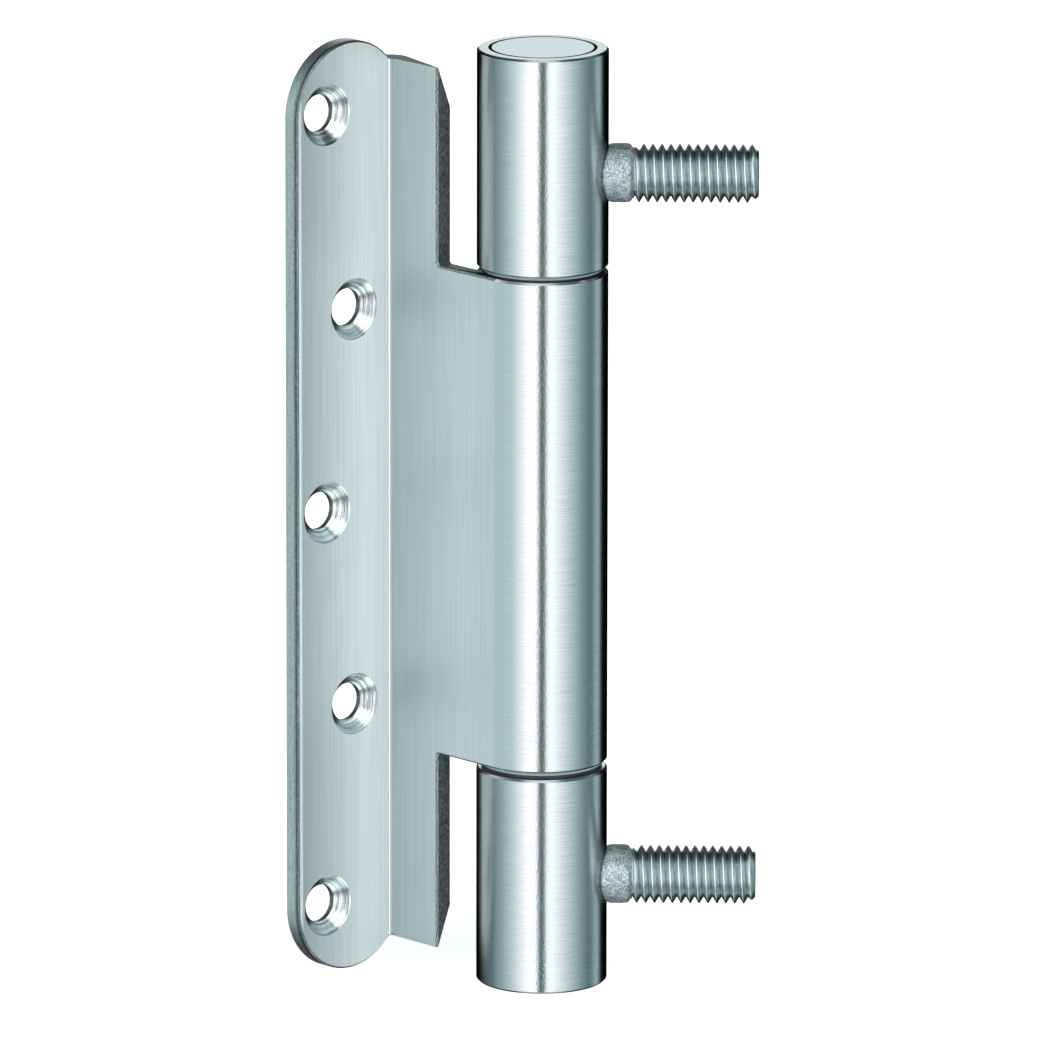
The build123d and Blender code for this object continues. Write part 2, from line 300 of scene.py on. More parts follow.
def ground_knuckle_steel(settings, painted_flag_light):
    """Stainless steel tube, ground while it turned.

    The scratches run round the barrel, so light spreads up and down it in upright bands.
    Scratches and pits are finer than they are drawn, and are coarse here so that they show.
    The pits break up the edges of the bands. Where the sheet meets the tube, on its -X side, the
    tone runs out to a painted light that carries the flag's lit tone onto the tube.
    """
    material, tree = new_material("stainless_barrel_ground")
    place = add_node(tree, "ShaderNodeTexCoord").outputs["Object"]
    parts = add_node(tree, "ShaderNodeSeparateXYZ", {0: place})
    angle = add_node(
        tree, "ShaderNodeMath", {0: parts.outputs[1], 1: parts.outputs[0]}, operation="ARCTAN2"
    ).outputs[0]
    arc = add_node(tree, "ShaderNodeMath", {0: angle, 1: BARREL_RADIUS}, operation="MULTIPLY").outputs[0]
    unrolled = add_node(tree, "ShaderNodeCombineXYZ", {0: arc, 1: 0.0, 2: parts.outputs[2]}).outputs[0]
    fine = grain_noise(tree, (1 / (6 * MM), 1.0, 1 / (0.12 * MM)), 4.0, 0.65, unrolled)
    pits = grain_noise(tree, (1 / (0.34 * MM), 1 / (0.34 * MM), 1 / (0.30 * MM)), 3.0, 0.6, place)
    shade = add_node(
        tree, "ShaderNodeMapRange", {"Value": fine, "From Min": 0.35, "From Max": 0.65}
    ).outputs[0]
    ground = add_node(
        tree, "ShaderNodeMix", {0: shade, 6: settings.steel_dark, 7: settings.steel}, data_type="RGBA"
    ).outputs[2]
    # Painted light: the tube is painted lighter towards the flag, carrying on the flag's lit tone
    flag_light_share = add_node(tree, "ShaderNodeMapRange", {
        "Value": angle, "From Min": -math.pi, "From Max": math.radians(-160), "To Min": 1, "To Max": 0,
    }, interpolation_type="SMOOTHSTEP").outputs[0]
    colour = add_node(tree, "ShaderNodeMix", {0: flag_light_share, 6: ground, 7: painted_flag_light}, data_type="RGBA").outputs[2]
    gloss = add_node(tree, "ShaderNodeMapRange", {
        "Value": fine, "From Min": 0.3, "From Max": 0.7, "To Min": 0.26, "To Max": 0.22,
    }).outputs[0]
    scratches = add_node(tree, "ShaderNodeBump", {"Height": fine, "Strength": 0.05, "Distance": 0.02 * MM})
    relief = add_node(tree, "ShaderNodeBump", {
        "Height": pits, "Strength": 0.6, "Distance": 0.028 * MM, "Normal": scratches.outputs[0],
    })
    tangent = add_node(tree, "ShaderNodeTangent", direction_type="RADIAL", axis="Z")
    steel = add_node(tree, "ShaderNodeBsdfPrincipled", {
        "Base Color": colour, "Metallic": 1.0, "Roughness": gloss, "Specular Tint": settings.steel_grazing,
        "Anisotropic": 0.95, "Anisotropic Rotation": 0.25,
        "Normal": relief.outputs[0], "Tangent": tangent.outputs[0],
    })
    add_node(tree, "ShaderNodeOutputMaterial", {"Surface": steel.outputs[0]})
    return material


def sheared_edge_steel(settings):
    """Edge of punched stainless sheet: torn and gritty, so it stays dark with a few glints.

    Its grit is drawn 0.3 mm wide, coarser than the real one, so that it shows.
    """
    material, tree = new_material("stainless_edge_sheared")
    grit = grain_noise(tree, (1 / (0.30 * MM), 1 / (0.30 * MM), 1 / (0.55 * MM)), 5.0, 0.7)
    shade = add_node(
        tree, "ShaderNodeMapRange", {"Value": grit, "From Min": 0.38, "From Max": 0.66}
    ).outputs[0]
    colour = add_node(
        tree, "ShaderNodeMix", {0: shade, 6: settings.edge, 7: settings.steel}, data_type="RGBA"
    ).outputs[2]
    relief = add_node(tree, "ShaderNodeBump", {"Height": grit, "Strength": 0.6, "Distance": 0.08 * MM})
    steel = add_node(tree, "ShaderNodeBsdfPrincipled", {
        "Base Color": colour, "Metallic": 1.0, "Roughness": 0.48, "Normal": relief.outputs[0],
    })
    add_node(tree, "ShaderNodeOutputMaterial", {"Surface": steel.outputs[0]})
    return material


def cut_edge_steel(settings):
    """Outer edge of the stainless leaf, cut and drawn along: bright, but dark along its front.

    Its score lines are drawn 0.22 mm wide, coarser than the real ones, so that they show.
    """
    material, tree = new_material("stainless_edge_cut")
    place = add_node(tree, "ShaderNodeTexCoord").outputs["Object"]
    lines = grain_noise(tree, (1 / (8 * MM), 1 / (0.22 * MM), 1 / (14 * MM)), 4.0, 0.7, place)
    grit = grain_noise(tree, (1 / (0.30 * MM), 1 / (0.30 * MM), 1 / (0.6 * MM)), 4.0, 0.7, place)
    depth = add_node(tree, "ShaderNodeSeparateXYZ", {0: place}).outputs[1]
    band = add_node(tree, "ShaderNodeMapRange", {
        "Value": depth, "From Min": LEAF_FRONT + 0.3 * MM, "From Max": LEAF_FRONT + 1.3 * MM, "To Max": 0.85,
    }, interpolation_type="SMOOTHSTEP").outputs[0]
    mixed = add_node(tree, "ShaderNodeMix", {0: 0.5, 2: lines, 3: grit}, data_type="FLOAT").outputs[0]
    swing = add_node(tree, "ShaderNodeMapRange", {
        "Value": mixed, "From Min": 0.38, "From Max": 0.62, "To Min": -0.25, "To Max": 0.25,
    }).outputs[0]
    share = add_node(tree, "ShaderNodeMath", {0: band, 1: swing}, operation="ADD", use_clamp=True).outputs[0]
    colour = add_node(
        tree, "ShaderNodeMix", {0: share, 6: settings.edge, 7: settings.leaf}, data_type="RGBA"
    ).outputs[2]
    relief = add_node(tree, "ShaderNodeBump", {"Height": mixed, "Strength": 0.4, "Distance": 0.06 * MM})
    steel = add_node(tree, "ShaderNodeBsdfPrincipled", {
        "Base Color": colour, "Metallic": 1.0, "Roughness": 0.42, "Normal": relief.outputs[0],
    })
    add_node(tree, "ShaderNodeOutputMaterial", {"Surface": steel.outputs[0]})
    return material


def countersink_steel(settings):
    """Stainless steel cut by a turning countersink, which leaves bright rings round each hole.

    The rings are drawn 0.3 mm wide, coarser than the real ones, so that they show.
    """
    material, tree = new_material("stainless_countersunk")
    place = add_node(tree, "ShaderNodeTexCoord").outputs["Object"]
    parts = add_node(tree, "ShaderNodeSeparateXYZ", {0: place})
    x, z = parts.outputs[0], parts.outputs[2]
    start = LEAF_MIDDLE - HOLE_STEP / 2
    height = add_node(tree, "ShaderNodeMath", {0: z, 1: start}, operation="SUBTRACT").outputs[0]
    across = add_node(tree, "ShaderNodeMath", {0: height, 1: HOLE_STEP, 2: 0.0}, operation="WRAP").outputs[0]
    rise = add_node(tree, "ShaderNodeMath", {0: across, 1: HOLE_STEP / 2}, operation="SUBTRACT").outputs[0]
    pair = add_node(
        tree, "ShaderNodeMath", {0: height, 1: 2 * HOLE_STEP, 2: 0.0}, operation="WRAP"
    ).outputs[0]
    inner = add_node(tree, "ShaderNodeMath", {0: pair, 1: HOLE_STEP}, operation="GREATER_THAN").outputs[0]
    column = add_node(tree, "ShaderNodeMath", {
        0: inner, 1: INNER_COLUMN - OUTER_COLUMN, 2: OUTER_COLUMN,
    }, operation="MULTIPLY_ADD").outputs[0]
    aside = add_node(tree, "ShaderNodeMath", {0: x, 1: column}, operation="SUBTRACT").outputs[0]
    spoke = add_node(tree, "ShaderNodeCombineXYZ", {0: aside, 1: 0.0, 2: rise}).outputs[0]
    radius = add_node(tree, "ShaderNodeVectorMath", {0: spoke}, operation="LENGTH").outputs["Value"]
    turn = add_node(tree, "ShaderNodeMath", {0: rise, 1: aside}, operation="ARCTAN2").outputs[0]
    polar = add_node(tree, "ShaderNodeCombineXYZ", {0: radius, 1: turn, 2: inner}).outputs[0]
    rings = grain_noise(tree, (1 / (0.30 * MM), 0.3, 1.0), 2.0, 0.6, polar)
    shade = add_node(
        tree, "ShaderNodeMapRange", {"Value": rings, "From Min": 0.40, "From Max": 0.60}
    ).outputs[0]
    colour = add_node(
        tree, "ShaderNodeMix", {0: shade, 6: settings.thread_dark, 7: settings.leaf}, data_type="RGBA"
    ).outputs[2]
    relief = add_node(tree, "ShaderNodeBump", {"Height": rings, "Strength": 0.6, "Distance": 0.08 * MM})
    steel = add_node(tree, "ShaderNodeBsdfPrincipled", {
        "Base Color": colour, "Metallic": 1.0, "Roughness": 0.22, "Normal": relief.outputs[0],
    })
    add_node(tree, "ShaderNodeOutputMaterial", {"Surface": steel.outputs[0]})
    return material


def blasted_shank_steel(settings):
    """Stainless steel, blasted: a fine pitted skin that scatters light in speckles.

    The pits are drawn 0.3 mm wide, coarser than the real ones, so that they show.
    """
    material, tree = new_material("stainless_blasted")
    pits = grain_noise(tree, (1 / (0.30 * MM),) * 3, 4.0, 0.75)
    patches = grain_noise(tree, (1 / (1.6 * MM),) * 3, 2.0, 0.5)
    tone = add_node(tree, "ShaderNodeMix", {0: 0.2, 2: pits, 3: patches}, data_type="FLOAT").outputs[0]
    shade = add_node(
        tree, "ShaderNodeMapRange", {"Value": tone, "From Min": 0.38, "From Max": 0.62}
    ).outputs[0]
    colour = add_node(
        tree, "ShaderNodeMix", {0: shade, 6: settings.shank, 7: settings.bright}, data_type="RGBA"
    ).outputs[2]
    relief = add_node(tree, "ShaderNodeBump", {"Height": pits, "Strength": 1.0, "Distance": 0.12 * MM})
    steel = add_node(tree, "ShaderNodeBsdfPrincipled", {
        "Base Color": colour, "Metallic": 1.0, "Roughness": 0.58, "Normal": relief.outputs[0],
    })
    add_node(tree, "ShaderNodeOutputMaterial", {"Surface": steel.outputs[0]})
    return material


def rolled_thread_steel(name, light, dark):
    """Stainless steel thread, cold rolled: smooth flanks with faint flow lines.

    Its crests are given a painted highlight and its roots painted shade, so each has the finish
    in tones of its own.
    """
    material, tree = new_material(name)
    flow = grain_noise(tree, (1 / (0.5 * MM),) * 3, 4.0, 0.6)
    colour = add_node(tree, "ShaderNodeMix", {0: flow, 6: dark, 7: light}, data_type="RGBA").outputs[2]
    gloss = add_node(tree, "ShaderNodeMapRange", {
        "Value": flow, "From Min": 0.3, "From Max": 0.7, "To Min": 0.38, "To Max": 0.28,
    }).outputs[0]
    relief = add_node(tree, "ShaderNodeBump", {"Height": flow, "Strength": 0.25, "Distance": 0.04 * MM})
    steel = add_node(tree, "ShaderNodeBsdfPrincipled", {
        "Base Color": colour, "Metallic": 1.0, "Roughness": gloss, "Normal": relief.outputs[0],
    })
    add_node(tree, "ShaderNodeOutputMaterial", {"Surface": steel.outputs[0]})
    return material


def ground_cap_steel(settings):
    """Stainless steel disc, face ground: even, with barely seen scratches one way.

    The scratches are drawn 0.12 mm wide, coarser than the real ones, so that they show.
    """
    material, tree = new_material("stainless_face_ground")
    fine = grain_noise(tree, (1 / (6 * MM), 1 / (0.12 * MM), 1 / (0.3 * MM)), 3.0, 0.6)
    colour = add_node(
        tree, "ShaderNodeMix", {0: fine, 6: settings.bright, 7: settings.leaf}, data_type="RGBA"
    ).outputs[2]
    relief = add_node(tree, "ShaderNodeBump", {"Height": fine, "Strength": 0.08, "Distance": 0.02 * MM})
    steel = add_node(tree, "ShaderNodeBsdfPrincipled", {
        "Base Color": colour, "Metallic": 1.0, "Roughness": 0.26, "Normal": relief.outputs[0],
    })
    add_node(tree, "ShaderNodeOutputMaterial", {"Surface": steel.outputs[0]})
    return material


def moulded_ring_rubber(settings):
    """Black nitrile rubber, moulded: matt, with next to no gleam and a trace of texture."""
    material, tree = new_material("nitrile_ring_moulded")
    skin = grain_noise(tree, (1 / (0.2 * MM),) * 3, 3.0, 0.6)
    gloss = add_node(tree, "ShaderNodeMapRange", {
        "Value": skin, "From Min": 0.3, "From Max": 0.7, "To Min": 0.74, "To Max": 0.86,
    }).outputs[0]
    relief = add_node(tree, "ShaderNodeBump", {"Height": skin, "Strength": 0.15, "Distance": 0.02 * MM})
    rubber = add_node(tree, "ShaderNodeBsdfPrincipled", {
        "Base Color": settings.ring, "Roughness": gloss, "IOR": 1.48, "Specular IOR Level": 0.03,
        "Normal": relief.outputs[0],
    })
    add_node(tree, "ShaderNodeOutputMaterial", {"Surface": rubber.outputs[0]})
    return material


def bush_plastic_painted_shade(name, settings, foot):
    """Grey acetal, moulded: satin, with painted shade that makes it black below a height in its flange."""
    material, tree = new_material(name)
    place = add_node(tree, "ShaderNodeTexCoord").outputs["Object"]
    height = add_node(tree, "ShaderNodeSeparateXYZ", {0: place}).outputs[2]
    shade_blend = 0.05 * MM
    # Painted shade: black below the foot height, where the gap between the knuckles is shaded
    unshaded = add_node(tree, "ShaderNodeMapRange", {
        "Value": height, "From Min": foot - shade_blend, "From Max": foot + shade_blend,
    }).outputs[0]
    colour = add_node(
        tree, "ShaderNodeMix", {0: unshaded, 6: settings.painted_shade, 7: settings.plastic}, data_type="RGBA"
    ).outputs[2]
    skin = grain_noise(tree, (1 / (0.2 * MM),) * 3, 3.0, 0.6, place)
    relief = add_node(tree, "ShaderNodeBump", {"Height": skin, "Strength": 0.15, "Distance": 0.02 * MM})
    plastic = add_node(tree, "ShaderNodeBsdfPrincipled", {
        "Base Color": colour, "Roughness": 0.45, "IOR": 1.48, "Normal": relief.outputs[0],
    })
    add_node(tree, "ShaderNodeOutputMaterial", {"Surface": plastic.outputs[0]})
    return material


def blackened_screw_steel(settings):
    """Alloy steel, blackened in oxide: near black with a dull metal gleam."""
    material, tree = new_material("steel_blackened")
    skin = grain_noise(tree, (1 / (0.3 * MM),) * 3, 3.0, 0.6)
    gloss = add_node(tree, "ShaderNodeMapRange", {
        "Value": skin, "From Min": 0.3, "From Max": 0.7, "To Min": 0.34, "To Max": 0.46,
    }).outputs[0]
    steel = add_node(tree, "ShaderNodeBsdfPrincipled", {
        "Base Color": settings.screw, "Metallic": 0.9, "Roughness": gloss,
    })
    add_node(tree, "ShaderNodeOutputMaterial", {"Surface": steel.outputs[0]})
    return material


def dress(node, *materials):
    """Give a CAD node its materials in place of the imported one."""
    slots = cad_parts[node].data.materials
    slots.clear()
    for material in materials:
        slots.append(material)


def mesh_piece(name, bm, materials, body):
    """Object of a built mesh, riding on its body with its materials."""
    mesh = bpy.data.meshes.new(name)
    bm.to_mesh(mesh)
    bm.free()
    for material in materials:
        mesh.materials.append(material)
    piece = bpy.data.objects.new(name, mesh)
    bpy.context.scene.collection.objects.link(piece)
    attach(piece, body)
    return piece


def thread_profile(settings):
    """Distances along one pitch with their radii, from the middle of a crest."""
    pitch, crest, root = settings.pitch, settings.crest_radius, settings.root_radius
    half_crest, half_root = settings.crest_flat / 2, settings.root_flat / 2
    bend = 0.05 * MM
    half = [
        (0.0, crest),
        (half_crest, crest - 0.1 * bend),
        (half_crest + bend, crest - 1.2 * bend),
        (pitch / 2 - half_root - bend, root + 1.5 * bend),
        (pitch / 2 - half_root, root + 0.4 * bend),
        (pitch / 2, root),
    ]
    return half + [(pitch - along, radius) for along, radius in reversed(half[1:-1])]


def stud_mesh(settings):
    """Mesh of a stud along its own X axis, from inside the knuckle to the chamfered tip."""
    bm = bmesh.new()
    count = settings.segments
    turns = [2 * math.pi * i / count for i in range(count)]
    thread_start = settings.shank_end + settings.neck_length
    rings = []

    def ring(distances, radii):
        rings.append([
            bm.verts.new((distance, radius * math.cos(turn), radius * math.sin(turn)))
            for turn, distance, radius in zip(turns, distances, radii)
        ])

    # Shank: its foot follows the barrel, and both of its ends are rounded over
    shank, neck = settings.shank_radius, settings.neck_radius
    bite = 0.1 * MM
    squareness = 5
    stations = 30
    for i in range(stations + 1):
        along = (1 - math.cos(math.pi * i / stations)) / 2
        fullness = math.sqrt(max(0.0, 1 - abs(2 * along - 1) ** squareness))
        radius = neck + (shank - settings.pit_depth - neck) * fullness
        distances, radii = [], []
        for turn in turns:
            sideways = radius * math.cos(turn)
            foot = math.sqrt(BARREL_RADIUS**2 - sideways**2) - bite
            place = foot + along * (settings.shank_end - foot)
            pit = noise.noise(Vector((place, sideways, radius * math.sin(turn))) / settings.pit_size)
            distances.append(place)
            radii.append(radius + settings.pit_depth * fullness * pit)
        ring(distances, radii)

    # Thread: rings that follow the helix, cut off square at the neck and at the tip
    profile = thread_profile(settings)
    pitch = settings.pitch
    run_out_start, run_out_slope = neck - 0.1 * MM, 1.1
    first = math.floor(thread_start / pitch) - 1
    last = math.ceil(settings.thread_end / pitch) + 1
    for step in range(first, last + 1):
        for along, radius in profile:
            distances, radii = [], []
            for turn in turns:
                place = (step + turn / (2 * math.pi)) * pitch + along
                place = min(max(place, thread_start), settings.thread_end)
                lead = run_out_start + (place - thread_start) * run_out_slope
                tip = settings.crest_radius - settings.tip_chamfer + (settings.thread_end - place)
                distances.append(place)
                radii.append(min(radius, lead, tip))
            ring(distances, radii)

    blasted, flank, crest, root = range(4)
    bands = (crest, crest, flank, root, root, root, root, flank, crest, crest)
    first_of_thread = stations + 1

    def join(corners, band):
        """Smooth face between two rings, with the finish of its band of the thread."""
        face = bm.faces.new(corners)
        face.smooth = True
        face.material_index = blasted if band < 0 else bands[band % len(bands)]

    for index, (low, high) in enumerate(zip(rings, rings[1:])):
        open_at_seam = index >= stations
        for i in range(count - 1 if open_at_seam else count):
            j = (i + 1) % count
            join((low[i], low[j], high[j], high[i]), index - first_of_thread)

    # The helix has risen one pitch at the seam, so a ring there meets the one a pitch later
    rise = len(profile)
    helix = rings[first_of_thread:]
    for index in range(len(helix) - rise - 1):
        low, high = helix[index], helix[index + 1]
        risen_low, risen_high = helix[index + rise], helix[index + rise + 1]
        join((low[-1], risen_low[0], risen_high[0], high[-1]), index)
    return bm


class HINGE_OT_threaded_studs(bpy.types.Operator):
    """Build the two frame studs with their rolled threads and blasted shanks"""

    bl_idname = "hinge.threaded_studs"
    bl_label = "Threaded studs"

    def execute(self, context):
        settings = context.scene.hinge_studs
        finish = context.scene.hinge_finish
        finishes = (
            blasted_shank_steel(finish),
            rolled_thread_steel("stainless_thread_rolled", finish.thread, finish.thread_dark),
            # Crests with a painted highlight, and roots with painted shade
            rolled_thread_steel("stainless_crest_painted_highlight", finish.leaf, finish.thread),
            rolled_thread_steel("stainless_root_painted_shade", finish.thread_dark, finish.thread_root_painted_shade),
        )
        weld = 0.0001 * MM
        for end in ("lower", "upper"):
            low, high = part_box(f"{end}_frame_stud")
            height = (low.z + high.z) / 2
            bm = stud_mesh(settings)
            place = Matrix((STUD_DIRECTION, STUD_SIDE, UP)).transposed().to_4x4()
            place.translation = UP * height
            bmesh.ops.transform(bm, matrix=place, verts=bm.verts)
            bmesh.ops.remove_doubles(bm, verts=bm.verts, dist=weld)
            bmesh.ops.dissolve_degenerate(bm, dist=weld, edges=bm.edges)
            edges = [e for e in bm.edges if e.is_boundary]
            bmesh.ops.holes_fill(bm, edges=edges, sides=0)
            bmesh.ops.recalc_face_normals(bm, faces=bm.faces)
            piece = mesh_piece(f"{end}_threaded_stud", bm, finishes, "frame_side")
            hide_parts(f"{end}_frame_stud")
        return {"FINISHED"}


class HINGE_OT_cap_rings(bpy.types.Operator):
    """Lay the thin sealing ring in the groove round each end cap"""

    bl_idname = "hinge.cap_rings"
    bl_label = "Cap rings"

    def execute(self, context):
        rubber = moulded_ring_rubber(context.scene.hinge_finish)
        settings = context.scene.hinge_rings
        outline = self.outline(settings)
        turns = [2 * math.pi * i / settings.segments for i in range(settings.segments)]
        for end, face, inwards in (("lower", CAD_BOX[0].z, 1), ("upper", CAD_BOX[1].z, -1)):
            bm = bmesh.new()
            loops = [
                [
                    bm.verts.new((radius * math.cos(turn), radius * math.sin(turn), face + inwards * depth))
                    for turn in turns
                ]
                for radius, depth in outline
            ]
            for low, high in zip(loops, loops[1:] + loops[:1]):
                for i in range(settings.segments):
                    j = (i + 1) % settings.segments
                    bm.faces.new((low[i], low[j], high[j], high[i])).smooth = True
            bmesh.ops.recalc_face_normals(bm, faces=bm.faces)
            mesh_piece(f"{end}_cap_ring", bm, (rubber,), "frame_side")
        return {"FINISHED"}

    def outline(self, settings):
        """Radii and depths round the ring's section, with its face slightly crowned."""
        middle = (settings.inner_radius + settings.outer_radius) / 2
        half = (settings.outer_radius - settings.inner_radius) / 2
        spans = 6
        face = []
        for i in range(spans + 1):
            turn = math.pi * i / spans
            depth = settings.setback - settings.crown * math.sin(turn)
            face.append((middle - half * math.cos(turn), depth))
        return [(settings.inner_radius, settings.depth)] + face + [(settings.outer_radius, settings.depth)]


class HINGE_OT_door_leaf(bpy.types.Operator):
    """Finish the door leaf: brushed faces, ground knuckle, sheared edges and countersinks"""

    bl_idname = "hinge.door_leaf"
    bl_label = "Door leaf"

    def execute(self, context):
        finish = context.scene.hinge_finish
        # Painted light on the leaf: a painted highlight along its free edge, then painted shade that lightens
        # towards the bend
        painted_highlight_end, painted_shade_start, plain = LEAF_LOW.x + 0.7 * MM, LEAF_LOW.x + 1.1 * MM, LEAF_LOW.x + 15 * MM
        painted_leaf_stops = (
            (LEAF_LOW.x, finish.leaf), (painted_highlight_end, finish.leaf), (painted_shade_start, finish.leaf_painted_shade), (plain, finish.leaf),
        )
        # Painted shade on the flag, darker towards the bend
        painted_flag_stops = ((0.0, finish.flag), (8 * MM, finish.flag), (LEAF_FRONT, finish.flag_painted_shade))
        materials = (
            brushed_sheet_steel("stainless_leaf_brushed", 0, painted_leaf_stops, finish.groove, 0.54),
            brushed_sheet_steel("stainless_flag_brushed", 1, painted_flag_stops, finish.groove, 0.58),
            # The leaf's knuckle is painted lighter towards the flag, in the leaf's colour
            ground_knuckle_steel(finish, finish.leaf),
            sheared_edge_steel(finish),
            countersink_steel(finish),
            cut_edge_steel(finish),
        )
        dress("door_leaf", *materials)
        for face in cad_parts["door_leaf"].data.polygons:
            face.material_index = self.finish_of(face.center, face.normal)
        return {"FINISHED"}

    def finish_of(self, place, normal):
        """Material index of a face by where it is and which way it looks."""
        sheet, flag, knuckle, torn, sink, cut = range(6)
        # Parts of a face's normal: nearly none of it, a good share, most of it, and all of it
        little, some, most, all_of_it = 0.05, 0.3, 0.9, 0.999
        upright = abs(normal.z) < little
        leaf_from_y, leaf_to_x = LEAF_FRONT - 1 * MM, -BARREL_RADIUS - 0.5 * MM
        bend_reach, roll_reach = 0.4 * MM, BARREL_RADIUS + 0.1 * MM
        on_leaf = place.y > leaf_from_y and place.x < leaf_to_x
        if on_leaf and abs(normal.y) > most:
            return sheet
        if on_leaf:
            radius = self.hole_radius(place)
            if radius < HOLE_RADIUS:
                return torn
            return sink if radius < COUNTERSINK_RADIUS else cut
        from_bend = math.hypot(place.x + BARREL_RADIUS, place.y - LEAF_FRONT)
        if upright and from_bend < bend_reach:
            return sheet if abs(normal.y) > abs(normal.x) else flag
        if place.xy.length < roll_reach and place.y < BARREL_RADIUS:
            on_tangent = abs(normal.x) > all_of_it and place.y > 0
            return flag if on_tangent else knuckle
        broken_ear_edge = normal.x < -some and normal.y < -some
        if upright and broken_ear_edge:
            return knuckle
        if upright and (abs(normal.x) > most or normal.y > some):
            return flag
        return torn

    def hole_radius(self, place):
        """Distance of a place on the leaf from the axis of the nearest screw hole."""
        distances = []
        for step in range(-2, 3):
            column = OUTER_COLUMN if step % 2 == 0 else INNER_COLUMN
            distances.append(math.hypot(place.x - column, place.z - LEAF_MIDDLE - step * HOLE_STEP))
        return min(distances)


class HINGE_OT_frame_knuckles(bpy.types.Operator):
    """Finish the two frame knuckles and their end caps"""

    bl_idname = "hinge.frame_knuckles"
    bl_label = "Frame knuckles"

    def execute(self, context):
        finish = context.scene.hinge_finish
        ground, face_ground = ground_knuckle_steel(finish, finish.steel), ground_cap_steel(finish)
        for end in ("lower", "upper"):
            dress(f"{end}_knuckle", ground, face_ground)
            dress(f"{end}_end_cap", face_ground)
            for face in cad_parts[f"{end}_knuckle"].data.polygons:
                looks_up_or_down = abs(face.normal.z) > 0.9
                face.material_index = 1 if looks_up_or_down else 0
        return {"FINISHED"}


class HINGE_OT_pin_and_bearings(bpy.types.Operator):
    """Finish the pin, the bearing bushes and the grub screws"""

    bl_idname = "hinge.pin_and_bearings"
    bl_label = "Pin and bearings"

    def execute(self, context):
        finish = context.scene.hinge_finish
        # Heights below which the bushes get painted shade
        painted_shade_heights = {
            "lower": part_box("lower_bearing_bush")[0].z + 0.6 * MM,
            "upper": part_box("upper_bearing_bush")[1].z - 0.4 * MM,
        }
        screw = blackened_screw_steel(finish)
        dress("hinge_pin", ground_knuckle_steel(finish, finish.steel))
        for end in ("lower", "upper"):
            name = f"acetal_{end}_bush_moulded"
            dress(f"{end}_bearing_bush", bush_plastic_painted_shade(name, finish, painted_shade_heights[end]))
            dress(f"{end}_grub_screw", screw)
        return {"FINISHED"}


